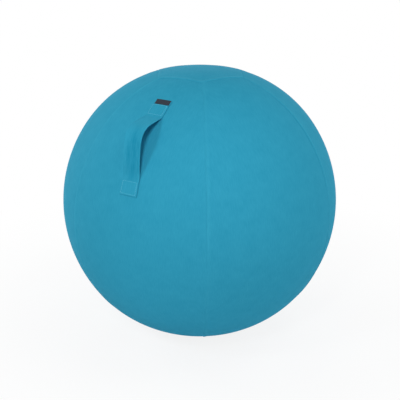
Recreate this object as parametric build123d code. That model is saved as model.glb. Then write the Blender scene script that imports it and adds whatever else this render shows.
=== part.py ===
from build123d import *
import os
from math import atan2, cos, degrees, radians, sin, sqrt

# A sitting ball: an inflated inner ball in a zipped fabric cover with a carrying strap.
# Millimetres, +Z up. The origin is on the floor under the ball's axis, and the strap faces -Y.

# Ball, as wide and as high as the cover outside
BALL_WIDTH = 650.0
BALL_HEIGHT = 640.0
FULLNESS = 4.7  # how far the section stands outside an ellipse at 45 degrees
SHOULDER_DRAW = 1.16  # above 1: how much tighter than belly and crown the shoulder arcs are
FLOOR_CLEARANCE = 1.0  # floor to the lowest point of the cover

# Cover panels
GORES = ("front", "front_right", "back_right", "back", "back_left", "front_left")
COVER_THICKNESS = 1.5
SEAM_GAP = 0.3
CAP_ACROSS_FLATS = 190.0

# Zip round the base panel
ZIP_RADIUS = 147.0  # the zip's centre line, from the ball's axis
ZIP_START_ANGLE = 90.0  # degrees from +X to its closed end
ZIP_ANGLE = 240.0  # degrees that it runs on from there; the rest of the circle is sewn
ZIP_GAP = 12.0  # between the two hems
TAPE_WIDTH = 13.0  # each tape, from the slit outwards
TAPE_THICKNESS = 0.7
TAPE_CLEARANCE = 0.2  # under the hems
ZIP_SLIT = 1.4  # between the two tapes
CHAIN_WIDTH = 6.0  # over both rows of the coil
CHAIN_HEIGHT = 1.6
STOP_LENGTH = 4.0
STOP_HEIGHT = 0.4  # above the coil
RUNNING_CLEARANCE = 0.35  # between the slider and what it runs on

# Zip slider and its pull
SLIDER_LENGTH = 11.0
SLIDER_MOUTH = 10.4
SLIDER_EXIT = 8.4
SLIDER_CORNER = 1.6
WING_THICKNESS = 1.2
INNER_WING_THICKNESS = 1.0
POST_WIDTH = 0.6
POST_LENGTH = 3.0
BRIDGE_WIDTH = 2.2
BRIDGE_WALL = 1.2
BRIDGE_SLOT = 3.8
BAR_DIAMETER = 1.4
PULL_LENGTH = 24.0
PULL_WIDTH = 7.0
PULL_NECK = 6.2
PULL_WINDOW = 3.6  # from the bar to the far edge of the window
PULL_ARM = 1.6

# Carrying strap
STRAP_WIDTH = 40.0
STRAP_THICKNESS = 2.4
STRAP_GAP = 0.3  # under the sewn ends, and between them and the free span
STRAP_LOW = 137.0  # lower line of stitches, above the ball's middle
STRAP_HIGH = 255.0  # upper line of stitches, above the ball's middle
SEWN_LOW = 31.0  # length of the lower sewn end
SEWN_HIGH = 40.0  # length of the upper sewn end
STRAP_REACH = 286.0  # the bend of the free span, from the ball's axis
STRAP_BEND_HEIGHT = 241.0  # and above the ball's middle
STRAP_BEND_RADIUS = 36.0
STRAP_LIFT = 9.0  # length over which the span lifts off at each end
STRAP_LIFT_RADIUS = 14.0
STRAP_LEAN_ANGLE = 2.5  # degrees that its upper end leans towards +X
STRAP_SIDE_ANGLE = 0.5  # degrees round the ball from the middle of the front gore

# Label on the strap's upper end
LABEL_WIDTH = 34.0
LABEL_HEIGHT = 14.0
LABEL_THICKNESS = 0.6
LABEL_INSET = 1.2  # from the end of the strap
LABEL_SHIFT = 2.5  # towards +X from the strap's middle line
LABEL_GAP = 0.2

# Ring that keeps the ball from rolling
RING_RADIUS = 76.0  # to the middle of its flat underside
RING_WIDTH = 20.0
RING_GAP = 0.3
RING_EDGE = 1.5

# Inner ball and its valve
BLADDER_EASE = 1.2  # between the cover and the inner ball
BLADDER_WALL = 1.6
DENT_MARGIN = 1.2  # beside the slider, where the zip presses into the inner ball
VALVE_RADIUS = 10.0
VALVE_CLEARANCE = 0.1
COLLAR_DEPTH = 12.0
COLLAR_FLANGE_RADIUS = 16.0
COLLAR_FLANGE = 1.6
PLUG_HEAD_RADIUS = 7.4
PLUG_HEAD = 1.4
PLUG_STEM_RADIUS = 4.0
PLUG_TIP = 1.6

# The section is three tangent arcs in each quarter: belly, shoulder and crown.
HALF_WIDTH = BALL_WIDTH / 2
HALF_HEIGHT = BALL_HEIGHT / 2
CENTRE_Z = FLOOR_CLEARANCE + HALF_HEIGHT
DIAGONAL = 1 / sqrt(0.5 / HALF_WIDTH**2 + 0.5 / HALF_HEIGHT**2) + FULLNESS
SHOULDER = SHOULDER_DRAW * (DIAGONAL - min(HALF_WIDTH, HALF_HEIGHT)) / (sqrt(2) - 1)
SHOULDER_R = DIAGONAL - SHOULDER * sqrt(2)


def closing_radius(half):
    """Radius of the arc, centred on an axis, that ends at `half` and is tangent to the shoulder."""
    reach = half - SHOULDER
    return (reach**2 + SHOULDER**2 - SHOULDER_R**2) / (2 * (reach - SHOULDER_R))


BELLY_R = closing_radius(HALF_WIDTH)
CROWN_R = closing_radius(HALF_HEIGHT)
BELLY_TILT = degrees(atan2(SHOULDER, SHOULDER - (HALF_WIDTH - BELLY_R)))
CROWN_TILT = degrees(atan2(SHOULDER - (HALF_HEIGHT - CROWN_R), SHOULDER))


def skin_point(tilt, depth=0.0):
    """Point of the section, `depth` under the skin, where the skin faces `tilt` degrees above level."""
    steep = abs(tilt)
    if steep <= BELLY_TILT:
        x, z, radius = HALF_WIDTH - BELLY_R, 0.0, BELLY_R
    elif steep <= CROWN_TILT:
        x, z, radius = SHOULDER, SHOULDER, SHOULDER_R
    else:
        x, z, radius = 0.0, HALF_HEIGHT - CROWN_R, CROWN_R
    x += (radius - depth) * cos(radians(steep))
    z += (radius - depth) * sin(radians(steep))
    return Vector(x, 0, CENTRE_Z + (z if tilt >= 0 else -z))


def skin_length(tilt):
    """Length along the section from the belly's widest point to where the skin has that tilt."""
    belly = BELLY_R * min(tilt, BELLY_TILT)
    shoulder = SHOULDER_R * (min(max(tilt, BELLY_TILT), CROWN_TILT) - BELLY_TILT)
    crown = CROWN_R * (max(tilt, CROWN_TILT) - CROWN_TILT)
    return radians(belly + shoulder + crown)


def tilt_where(measure, value):
    """Tilt between level and straight up at which a steadily rising or falling measure has a value."""
    low, high = 0.0, 90.0
    rising = measure(high) > measure(low)
    for _ in range(60):
        middle = (low + high) / 2
        if (measure(middle) < value) == rising:
            low = middle
        else:
            high = middle
    return (low + high) / 2


def tilt_at_radius(radius, depth=0.0):
    return tilt_where(lambda tilt: skin_point(tilt, depth).X, radius)


def tilt_at_height(height):
    return tilt_where(lambda tilt: skin_point(tilt).Z - CENTRE_Z, height)


def tilt_past(tilt, length):
    """Tilt of the skin `length` mm further up the section."""
    return tilt_where(skin_length, skin_length(tilt) + length)


def skin_arcs(depth, low, high):
    """Arcs along the section from one tilt to another, `depth` under the skin."""
    joins = [-CROWN_TILT, -BELLY_TILT, BELLY_TILT, CROWN_TILT]
    tilts = [low] + [tilt for tilt in joins if low < tilt < high] + [high]
    arcs = []
    for start, end in zip(tilts, tilts[1:]):
        points = [skin_point(tilt, depth) for tilt in (start, (start + end) / 2, end)]
        arcs.append(ThreePointArc(*points))
    return arcs


def skin_band(outer, inner, low, high):
    """Section between two depths under the skin, from tilt `low` to `high`, cut square to the skin."""
    outside = skin_arcs(outer, low, high)
    inside = skin_arcs(inner, low, high)
    lower_end = Line(outside[0] @ 0, inside[0] @ 0)
    upper_end = Line(outside[-1] @ 1, inside[-1] @ 1)
    return make_face([*outside, *inside, lower_end, upper_end])


def ring(section, start=0.0, arc=360.0):
    """Section turned about the ball's axis from one bearing through an arc."""
    return Rot(0, 0, start) * revolve(section, Axis.Z, arc)


# Zip bearings and depths, shared by the panels, the tapes, the slider and the inner ball
ZIP_TILT = tilt_at_radius(ZIP_RADIUS)
TAPE_TOP = COVER_THICKNESS + TAPE_CLEARANCE
TAPE_BOTTOM = TAPE_TOP + TAPE_THICKNESS
CHAIN_TOP = TAPE_TOP - CHAIN_HEIGHT
BLADDER_TOP = COVER_THICKNESS + BLADDER_EASE
INNER_WING_TOP = TAPE_BOTTOM + RUNNING_CLEARANCE
INNER_WING_BOTTOM = INNER_WING_TOP + INNER_WING_THICKNESS
DENT_BOTTOM = INNER_WING_BOTTOM + RUNNING_CLEARANCE


def zip_tilt(across):
    """Tilt of the skin `across` mm up the slope from the zip's centre line."""
    return -tilt_past(ZIP_TILT, -across)


def zip_band(outer, inner, low, high):
    """Section between two depths, from `low` to `high` mm up the slope from the zip's centre line."""
    return skin_band(outer, inner, zip_tilt(low), zip_tilt(high))


def zip_degrees(length):
    """Angle about the ball's axis that a length along the zip takes."""
    return degrees(length / ZIP_RADIUS)


# Cover panels: six gores, a hexagonal crown and a round base, each cut square to the skin
CAP_TILT = tilt_at_radius(CAP_ACROSS_FLATS / 2)
CAP_CORNER = CAP_ACROSS_FLATS / 2 / cos(radians(180 / len(GORES)))
CAP_MARGIN = CAP_CORNER / 10  # skin left beyond the cut before the panels are trimmed
GORE_ARC = 360 / len(GORES)


def cap_plane(shift):
    """Cut along the crown's front edge, square to the skin and moved towards the crown by `shift`."""
    up = Vector(0, sin(radians(CAP_TILT)), cos(radians(CAP_TILT)))
    middle = Vector(0, -SHOULDER, CENTRE_Z + SHOULDER)
    return Plane(origin=middle + up * shift, x_dir=(1, 0, 0), z_dir=up)


def make_gore():
    """The front gore, which the others repeat round the ball."""
    start_tilt = tilt_at_radius(CAP_ACROSS_FLATS / 2 - CAP_MARGIN)
    section = skin_band(0, COVER_THICKNESS, zip_tilt(ZIP_GAP / 2), start_tilt)
    arc = GORE_ARC - degrees(SEAM_GAP / HALF_WIDTH)
    slice_of_skin = ring(section, -90 - arc / 2, arc)
    return split(slice_of_skin, bisect_by=cap_plane(-SEAM_GAP / 2), keep=Keep.BOTTOM)


def make_cap():
    """The crown: a round of skin trimmed along each side of the hexagon."""
    section = skin_band(0, COVER_THICKNESS, tilt_at_radius(CAP_CORNER + CAP_MARGIN), 90)
    cap = ring(section)
    for _ in GORES:
        cap = split(cap, bisect_by=cap_plane(SEAM_GAP / 2), keep=Keep.TOP)
        cap = Rot(0, 0, GORE_ARC) * cap
    return cap


def make_base():
    """The base: round inside the zip, and reaching to the gores where it is sewn to them."""
    section = skin_band(0, COVER_THICKNESS, -90, zip_tilt(-ZIP_GAP / 2))
    tongue = zip_band(0, COVER_THICKNESS, -ZIP_GAP / 2, ZIP_GAP / 2 - SEAM_GAP)
    return ring(section) + ring(tongue, ZIP_START_ANGLE + ZIP_ANGLE, 360 - ZIP_ANGLE)


# Zip: tapes sewn under the hems, a row of coil on the edge of each, and a stop at both ends
def make_tape(side):
    edges = sorted((side * ZIP_SLIT / 2, side * TAPE_WIDTH))
    return ring(zip_band(TAPE_TOP, TAPE_BOTTOM, *edges), ZIP_START_ANGLE, ZIP_ANGLE)


def make_chain(side):
    edges = sorted((side * ZIP_SLIT / 2, side * CHAIN_WIDTH / 2))
    inset = zip_degrees(STOP_LENGTH + SEAM_GAP)
    row = zip_band(CHAIN_TOP, TAPE_TOP, *edges)
    return ring(row, ZIP_START_ANGLE + inset, ZIP_ANGLE - 2 * inset)


def make_stops():
    """Two blocks clamped over both tapes, one at each end of the coil."""
    section = zip_band(CHAIN_TOP - STOP_HEIGHT, TAPE_TOP, -CHAIN_WIDTH / 2, CHAIN_WIDTH / 2)
    arc = zip_degrees(STOP_LENGTH)
    first = ring(section, ZIP_START_ANGLE, arc)
    last = ring(section, ZIP_START_ANGLE + ZIP_ANGLE - arc, arc)
    return Compound(children=[first, last])


# Slider: modelled with X towards the base, Y along its travel and Z out of the skin
SLIDER_REST = ZIP_START_ANGLE + zip_degrees(STOP_LENGTH + SEAM_GAP + SLIDER_LENGTH / 2)
WING_BOTTOM = -CHAIN_TOP + RUNNING_CLEARANCE
WING_TOP = WING_BOTTOM + WING_THICKNESS
BAR_HEIGHT = WING_TOP + RUNNING_CLEARANCE + BAR_DIAMETER / 2
SLOT_TOP = BAR_HEIGHT + BAR_DIAMETER / 2 + RUNNING_CLEARANCE
BRIDGE_TOP = SLOT_TOP + BRIDGE_WALL


def on_slider(piece):
    """A piece of the slider put in its place on the zip, at the closed end."""
    tilt = radians(ZIP_TILT)
    out = Vector(cos(tilt), 0, -sin(tilt))
    base_way = Vector(-sin(tilt), 0, -cos(tilt))
    seat = Plane(origin=skin_point(-ZIP_TILT), x_dir=base_way, z_dir=out)
    return Rot(0, 0, SLIDER_REST) * seat.location * piece


def slider_outline(inset=0.0):
    """Outline of a wing: wide at the mouth, where the two rows come in, and narrow at the exit."""
    half = SLIDER_LENGTH / 2 - inset
    mouth = SLIDER_MOUTH / 2 - inset
    exit_half = SLIDER_EXIT / 2 - inset
    corners = [(-mouth, -half), (mouth, -half), (exit_half, half), (-exit_half, half)]
    outline = make_face(Polyline(*corners, close=True))
    return fillet(outline.vertices(), SLIDER_CORNER)


def make_slider():
    """Two wings on a post, side flanges round the coil, and a bridge for the pull."""
    low = -TAPE_TOP + RUNNING_CLEARANCE
    side = CHAIN_WIDTH / 2 + RUNNING_CLEARANCE + SEAM_GAP / 2
    shell = Pos(0, 0, low) * extrude(slider_outline(), WING_TOP - low)
    tunnel = Pos(0, 0, (low + WING_BOTTOM) / 2) * Box(2 * side, 2 * SLIDER_LENGTH, WING_BOTTOM - low)
    inner = Pos(0, 0, -INNER_WING_BOTTOM) * extrude(slider_outline(RUNNING_CLEARANCE), INNER_WING_THICKNESS)
    post_height = WING_BOTTOM + INNER_WING_TOP
    post_y = -SLIDER_LENGTH / 2 + SLIDER_CORNER + POST_LENGTH / 2
    post = Pos(0, post_y, WING_BOTTOM - post_height / 2) * Box(POST_WIDTH, POST_LENGTH, post_height)
    bridge_length = BRIDGE_SLOT + 2 * BRIDGE_WALL
    bridge_height = BRIDGE_TOP - WING_TOP
    bridge = Pos(0, 0, WING_TOP + bridge_height / 2) * Box(BRIDGE_WIDTH, bridge_length, bridge_height)
    crown_edges = bridge.edges().filter_by(Axis.X).group_by(Axis.Z)[-1]
    bridge = fillet(crown_edges, BRIDGE_WALL)
    slot_height = SLOT_TOP - WING_TOP
    slot = Pos(0, 0, WING_TOP + slot_height / 2) * Box(BRIDGE_WIDTH, BRIDGE_SLOT, slot_height)
    return on_slider((shell - tunnel) + inner + post + (bridge - slot))


def make_pull():
    """A tab that hangs from a round bar under the slider's bridge."""
    neck_end = PULL_WINDOW + PULL_ARM
    tip = PULL_WIDTH / 2
    half_neck = PULL_NECK / 2
    side = [(half_neck, 0), (half_neck, PULL_WINDOW), (half_neck - PULL_ARM / 2, neck_end)]
    side += [(tip, PULL_LENGTH - tip)]
    mirrored = [(-x, z) for x, z in reversed(side)]
    flank = Polyline(*side)
    other_flank = Polyline(*mirrored)
    end = ThreePointArc(side[-1], (0, PULL_LENGTH), mirrored[0])
    top = Line(mirrored[-1], side[0])
    outline = make_face([flank, end, other_flank, top])
    window_width = PULL_NECK - 2 * PULL_ARM
    window_low = BAR_DIAMETER / 2
    window_height = PULL_WINDOW - window_low
    window = Pos(0, window_low + window_height / 2) * Rectangle(window_width, window_height)
    tab = extrude(Plane.XZ * (outline - window), BAR_DIAMETER / 2, both=True)
    bar = Rot(0, 90, 0) * Cylinder(BAR_DIAMETER / 2, PULL_NECK)
    return on_slider(Pos(0, 0, BAR_HEIGHT) * (tab + bar))


# Strap: two ends sewn flat on the front gore, and a free span that bows out between them
HIGH_TILT = tilt_at_height(STRAP_HIGH)
LOW_TILT = tilt_at_height(STRAP_LOW)
HIGH_END_TILT = tilt_past(HIGH_TILT, SEWN_HIGH)
LOW_END_TILT = tilt_past(LOW_TILT, -SEWN_LOW)
STRAP_TOP = STRAP_GAP + STRAP_THICKNESS
PATCH_ANGLE = 90.0  # degrees of skin, wider than any strap


def on_gore(piece):
    """A piece of the strap, made upright on the front, leaned about its middle and turned aside."""
    tilt = radians((LOW_END_TILT + HIGH_END_TILT) / 2)
    out = Vector(0, -cos(tilt), sin(tilt))
    leaned = piece.rotate(Axis((0, 0, CENTRE_Z), out), -STRAP_LEAN_ANGLE)
    return Rot(0, 0, STRAP_SIDE_ANGLE) * leaned


def patch(section, width, shift=0.0):
    """A strip of skin on the front gore, trimmed to a width with parallel sides."""
    skin = ring(section, -90 - PATCH_ANGLE / 2, PATCH_ANGLE)
    return on_gore(skin & (Pos(shift, 0, CENTRE_Z) * Box(width, 2 * BALL_WIDTH, 2 * BALL_HEIGHT)))


def make_strap_end(low, high):
    return patch(skin_band(-STRAP_TOP, -STRAP_GAP, low, high), STRAP_WIDTH)


def make_strap_span():
    """The free span: it leaves both sewn ends along the skin, lifts off and turns one round bend."""
    middle = -STRAP_GAP - STRAP_THICKNESS / 2
    high = tilt_past(HIGH_TILT, -STRAP_GAP)
    low = tilt_past(LOW_TILT, STRAP_GAP)
    start = skin_point(high, middle)
    end = skin_point(low, middle)
    down = Vector(sin(radians(high)), 0, -cos(radians(high)))
    up = Vector(-sin(radians(low)), 0, cos(radians(low)))
    bend = Vector(STRAP_REACH, 0, CENTRE_Z + STRAP_BEND_HEIGHT)
    corners = [start, start + down * STRAP_LIFT, bend, end + up * STRAP_LIFT, end]
    radii = [STRAP_LIFT_RADIUS, STRAP_BEND_RADIUS, STRAP_LIFT_RADIUS]
    path = FilletPolyline(*corners, radius=radii)
    across = Plane(origin=path @ 0, x_dir=(0, 1, 0), z_dir=path % 0)
    span = sweep(across * Rectangle(STRAP_WIDTH, STRAP_THICKNESS), path=path)
    return on_gore(Rot(0, 0, -90) * span)


def make_label():
    top = tilt_past(HIGH_END_TILT, -LABEL_INSET)
    bottom = tilt_past(top, -LABEL_HEIGHT)
    under = STRAP_TOP + LABEL_GAP
    return patch(skin_band(-under - LABEL_THICKNESS, -under, bottom, top), LABEL_WIDTH, LABEL_SHIFT)


# Floor ring: flat under, hollowed to the base panel above
def make_floor_ring():
    inside = RING_RADIUS - RING_WIDTH / 2
    outside = RING_RADIUS + RING_WIDTH / 2
    low = -tilt_at_radius(inside, -RING_GAP)
    high = -tilt_at_radius(outside, -RING_GAP)
    seat = skin_arcs(-RING_GAP, low, high)
    sides = Polyline(seat[0] @ 0, (inside, 0, 0), (outside, 0, 0), seat[-1] @ 1)
    section = make_face([*seat, sides])
    feet = section.vertices().group_by(Axis.Z)[0]
    return ring(fillet(feet, RING_EDGE))


# Inner ball: a thin blown wall, dented by the back of the zip, with a plugged valve at its base
BLADDER_BOTTOM = BLADDER_TOP + BLADDER_WALL
MOUTH_TILT = -tilt_at_radius(VALVE_RADIUS, BLADDER_TOP)


def wall_line(depth, dent_depth, dent_half):
    """One face of the wall in section: mouth to top, set in behind the zip, parted at the equator."""
    low = zip_tilt(-dent_half)
    high = zip_tilt(dent_half)
    below = skin_arcs(depth, MOUTH_TILT, low)
    dent = skin_arcs(dent_depth, low, high)
    above = skin_arcs(depth, high, 0) + skin_arcs(depth, 0, 90)
    return [*below, Line(below[-1] @ 1, dent[0] @ 0), *dent, Line(dent[-1] @ 1, above[0] @ 0), *above]


def make_inner_ball():
    dent_half = SLIDER_MOUTH / 2 + DENT_MARGIN
    outside = wall_line(BLADDER_TOP, DENT_BOTTOM, dent_half)
    inside = wall_line(BLADDER_BOTTOM, DENT_BOTTOM + BLADDER_WALL, dent_half + BLADDER_WALL)
    mouth = Line(outside[0] @ 0, inside[0] @ 0)
    top = Line(outside[-1] @ 1, inside[-1] @ 1)
    return ring(make_face([*outside, *inside, mouth, top]))


VALVE_Z = skin_point(-90, BLADDER_TOP).Z
FLANGE_TILT = tilt_at_radius(COLLAR_FLANGE_RADIUS, BLADDER_BOTTOM)
VALVE_FLOOR = skin_point(-FLANGE_TILT, BLADDER_BOTTOM).Z + VALVE_CLEARANCE


def make_valve_collar():
    """A flanged bush in the inner ball's mouth, with a recess for the plug's head."""
    outer = VALVE_RADIUS - VALVE_CLEARANCE
    bore = PLUG_STEM_RADIUS + VALVE_CLEARANCE
    recess = PLUG_HEAD_RADIUS + VALVE_CLEARANCE
    recess_top = VALVE_Z + PLUG_HEAD + VALVE_CLEARANCE
    flange_top = VALVE_FLOOR + COLLAR_FLANGE
    top = VALVE_Z + COLLAR_DEPTH
    outline = [
        (recess, 0, VALVE_Z),
        (outer, 0, VALVE_Z),
        (outer, 0, VALVE_FLOOR),
        (COLLAR_FLANGE_RADIUS, 0, VALVE_FLOOR),
        (COLLAR_FLANGE_RADIUS, 0, flange_top),
        (outer, 0, flange_top),
        (outer, 0, top),
        (bore, 0, top),
        (bore, 0, recess_top),
        (recess, 0, recess_top),
    ]
    return ring(make_face(Polyline(*outline, close=True)))


def make_valve_plug():
    """A push-in plug: a flat head under the mouth and a stem with a tapered tip."""
    top = VALVE_Z + COLLAR_DEPTH
    outline = [
        (0, 0, VALVE_Z),
        (PLUG_HEAD_RADIUS, 0, VALVE_Z),
        (PLUG_HEAD_RADIUS, 0, VALVE_Z + PLUG_HEAD),
        (PLUG_STEM_RADIUS, 0, VALVE_Z + PLUG_HEAD),
        (PLUG_STEM_RADIUS, 0, top),
        (PLUG_STEM_RADIUS - PLUG_TIP, 0, top + PLUG_TIP),
        (0, 0, top + PLUG_TIP),
    ]
    return ring(make_face(Polyline(*outline, close=True)))


def make_parts():
    """Every piece of the ball by name."""
    front_gore = make_gore()
    parts = {}
    for number, name in enumerate(GORES):
        parts["gore_" + name] = Rot(0, 0, number * GORE_ARC) * front_gore
    parts["crown_panel"] = make_cap()
    parts["base_panel"] = make_base()
    parts["floor_ring"] = make_floor_ring()
    parts["zip_tape_upper"] = make_tape(1)
    parts["zip_tape_lower"] = make_tape(-1)
    parts["zip_coil_upper"] = make_chain(1)
    parts["zip_coil_lower"] = make_chain(-1)
    parts["zip_stops"] = make_stops()
    parts["zip_slider"] = make_slider()
    parts["zip_pull"] = make_pull()
    parts["strap_span"] = make_strap_span()
    parts["strap_end_upper"] = make_strap_end(HIGH_TILT, HIGH_END_TILT)
    parts["strap_end_lower"] = make_strap_end(LOW_END_TILT, LOW_TILT)
    parts["strap_label"] = make_label()
    parts["inner_ball"] = make_inner_ball()
    parts["valve_collar"] = make_valve_collar()
    parts["valve_plug"] = make_valve_plug()
    return parts


os.makedirs("parts", exist_ok=True)
for name, part in make_parts().items():
    export_step(part, os.path.join("parts", name + ".step"))
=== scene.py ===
import bpy
import numpy as np
from mathutils import Matrix, Vector


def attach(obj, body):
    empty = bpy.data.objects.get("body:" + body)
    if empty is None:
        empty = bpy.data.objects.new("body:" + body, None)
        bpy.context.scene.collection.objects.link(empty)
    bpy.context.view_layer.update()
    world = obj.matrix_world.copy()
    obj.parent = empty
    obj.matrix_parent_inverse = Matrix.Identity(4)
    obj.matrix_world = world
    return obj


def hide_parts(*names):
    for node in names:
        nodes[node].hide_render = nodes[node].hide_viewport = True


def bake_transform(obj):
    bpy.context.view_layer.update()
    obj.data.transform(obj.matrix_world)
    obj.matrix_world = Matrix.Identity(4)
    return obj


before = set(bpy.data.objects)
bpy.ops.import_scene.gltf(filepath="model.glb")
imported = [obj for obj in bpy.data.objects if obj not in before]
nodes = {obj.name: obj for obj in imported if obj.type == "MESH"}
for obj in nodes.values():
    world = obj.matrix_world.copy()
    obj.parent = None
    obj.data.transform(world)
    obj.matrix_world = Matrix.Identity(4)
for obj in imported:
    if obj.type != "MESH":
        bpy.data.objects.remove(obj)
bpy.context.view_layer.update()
MM = 0.001


# Inner ball: a ball of PVC, blown in a two-part mould and filled with air through a valve,
# which is a moulded collar with a push-in plug. The zipped cover hides all three.


def linear(code):
    """Linear RGBA of an sRGB hex colour: the standard sRGB curve undone on each channel."""
    channel = np.array([int(code[place : place + 2], 16) for place in (1, 3, 5)]) / 255
    straight = channel / 12.92
    curved = ((channel + 0.055) / 1.055) ** 2.4
    return (*np.where(channel <= 0.04045, straight, curved).tolist(), 1.0)


def add(material, kind, inputs=(), **settings):
    """One node: its settings are set, and each input is linked to a socket or set to a value."""
    tree = material.node_tree
    node = tree.nodes.new(kind)
    for name, value in settings.items():
        setattr(node, name, value)
    for name, value in dict(inputs).items():
        if isinstance(value, bpy.types.NodeSocket):
            tree.links.new(value, node.inputs[name])
        else:
            node.inputs[name].default_value = value
    return node


def empty_material(name):
    """Material that takes nodes and has none yet."""
    material = bpy.data.materials.new(name)
    material.use_nodes = True
    material.node_tree.nodes.clear()
    return material


def grained(name, low, high, grain, roughness, depth, **sockets):
    """Moulded or cast finish: a noise of one grain clouds two shades and also lifts the surface."""
    material = empty_material(name)
    place = add(material, "ShaderNodeTexCoord").outputs["Object"]
    noise = {"Vector": place, "Scale": 1 / grain, "Detail": 3.0}
    noise = add(material, "ShaderNodeTexNoise", noise).outputs["Fac"]
    colour = {0: noise, 6: linear(low), 7: linear(high)}
    colour = add(material, "ShaderNodeMix", colour, data_type="RGBA").outputs[2]
    bump = {"Height": noise, "Strength": 0.5, "Distance": depth}
    bump = add(material, "ShaderNodeBump", bump).outputs["Normal"]
    surface = {"Base Color": colour, "Normal": bump, "Roughness": roughness, **sockets}
    shader = add(material, "ShaderNodeBsdfPrincipled", surface)
    add(material, "ShaderNodeOutputMaterial", {"Surface": shader.outputs["BSDF"]})
    return material


def dress(name, material):
    """A CAD node whose shape is right keeps it, and gets its real material."""
    mesh = nodes[name].data
    mesh.materials.clear()
    mesh.materials.append(material)


# Blown PVC: a satin skin with a faint orange-peel from the mould
blown_pvc = grained("blown_pvc", "#8f959a", "#9aa0a5", 2.5 * MM, 0.42, 0.1 * MM, IOR=1.53)
# Injection-moulded polyethylene: white, waxy and a little milky
moulded_pe = grained(
    "moulded_polyethylene", "#dfe2e1", "#eceeec", 1.5 * MM, 0.38, 0.05 * MM, IOR=1.51
)
dress("inner_ball", blown_pvc)
dress("valve_collar", moulded_pe)
dress("valve_plug", moulded_pe)


# Floor ring: a solid rubber ring, moulded flat underneath and hollow on top to take the base.
# It keeps the ball from rolling away, and its own weight brings the ball upright.

# Moulded rubber: black gone slightly grey, dull, with the fine pitting of a blasted mould
moulded_rubber = grained(
    "moulded_rubber", "#232527", "#303336", 1.2 * MM, 0.72, 0.15 * MM, IOR=1.52
)
dress("floor_ring", moulded_rubber)


# Base panel: a round of the cover fabric under the ball, cut with one wide tongue.
# Its edge is hemmed along the zip, and the tongue is sewn to the gores as the flap's hinge.

HALF_WIDTH = 325 * MM
HALF_HEIGHT = 320 * MM
CENTRE_Z = 321 * MM
FULLNESS = 4.7 * MM  # how far the section stands past an ellipse on its diagonal
SHOULDER_DRAW = 1.16  # 1 would make the crown flat, and more makes it rounder
COVER_THICKNESS = 1.5 * MM

# The shoulder's arc is centred SHOULDER out and SHOULDER up from the ball's middle
diagonal = 1 / np.sqrt(0.5 / HALF_WIDTH**2 + 0.5 / HALF_HEIGHT**2) + FULLNESS
SHOULDER = SHOULDER_DRAW * (diagonal - min(HALF_WIDTH, HALF_HEIGHT)) / (np.sqrt(2) - 1)
SHOULDER_R = diagonal - SHOULDER * np.sqrt(2)


def closing_radius(half):
    """Radius of the arc that is centred on an axis, ends at `half` and touches the shoulder's."""
    reach = half - SHOULDER
    return (reach**2 + SHOULDER**2 - SHOULDER_R**2) / (2 * (reach - SHOULDER_R))


BELLY_R = closing_radius(HALF_WIDTH)
CROWN_R = closing_radius(HALF_HEIGHT)
BELLY_TILT = np.arctan2(SHOULDER, SHOULDER - HALF_WIDTH + BELLY_R)
CROWN_TILT = np.arctan2(SHOULDER - HALF_HEIGHT + CROWN_R, SHOULDER)
knot_tilts = np.array([0, BELLY_TILT, CROWN_TILT, np.pi / 2])
knot_girths = np.cumsum(np.diff(knot_tilts) * [BELLY_R, SHOULDER_R, CROWN_R])
knot_tilts = np.concatenate([-knot_tilts[:0:-1], knot_tilts])
knot_girths = np.concatenate([-knot_girths[::-1], [0], knot_girths])
TOP = knot_girths[-1]


def tilt_at(girth):
    """Tilt of the skin at a length along the section from the equator: each arc turns evenly."""
    return np.interp(girth, knot_girths, knot_tilts)


def girth_at(tilt):
    """Length along the section from the equator to where the skin has a tilt: tilt_at undone."""
    return np.interp(tilt, knot_tilts, knot_girths)


def skin(tilt, depth):
    """Radius and height of the section: belly, shoulder and crown arcs, mirrored at the equator."""
    steep = np.abs(tilt)
    arcs = [steep <= BELLY_TILT, steep >= CROWN_TILT]
    out = np.select(arcs, [HALF_WIDTH - BELLY_R, 0.0], SHOULDER)
    up = np.select(arcs, [0.0, HALF_HEIGHT - CROWN_R], SHOULDER)
    radius = np.select(arcs, [BELLY_R, CROWN_R], SHOULDER_R) - depth
    height = up + radius * np.sin(steep)
    return out + radius * np.cos(steep), CENTRE_Z + np.where(tilt < 0, -height, height)


def on_ball(bearing, girth, depth):
    """Points by bearing from +X, length along the section and depth: the section turned about Z."""
    radius, height = skin(tilt_at(girth), depth)
    places = np.broadcast_arrays(radius * np.cos(bearing), radius * np.sin(bearing), height)
    return np.stack(places, -1)


def quads(index):
    """Quads between the neighbouring rows and columns of a grid of point numbers."""
    corners = [index[:-1, :-1], index[:-1, 1:], index[1:, 1:], index[1:, :-1]]
    return np.stack(corners, -1)


def ring_index(rows, columns):
    """Point numbers of closed rings, row by row: the first column comes again at the end."""
    index = np.arange(rows * columns).reshape(rows, columns)
    return np.concatenate([index, index[:, :1]], 1)


# Columns of a cloth's `flat` that each of its UV maps takes; the tone is read from U alone
UV_COLUMNS = {"flat_cut": [0, 1], "tone": [2, 2]}
SHARP_ANGLE = np.radians(50)


def new_piece(name, points, faces, material, flat=None):
    """Object at the origin from points and lists of faces, smooth except over sharp edges."""
    mesh = bpy.data.meshes.new(name)
    mesh.from_pydata(points.tolist(), [], [face for group in faces for face in group.tolist()])
    if flat is not None:
        corner = np.empty(len(mesh.loops), np.int32)
        mesh.loops.foreach_get("vertex_index", corner)
        for layer_name, columns in UV_COLUMNS.items():
            if max(columns) < flat.shape[1]:
                layer = mesh.uv_layers.new(name=layer_name)
                pairs = flat[corner][:, columns]
                layer.data.foreach_set("uv", pairs.astype(np.float32).ravel())
    mesh.shade_smooth()
    mesh.set_sharp_from_angle(angle=SHARP_ANGLE)
    mesh.materials.append(material)
    piece = bpy.data.objects.new(name, mesh)
    bpy.context.scene.collection.objects.link(piece)
    return piece


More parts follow.
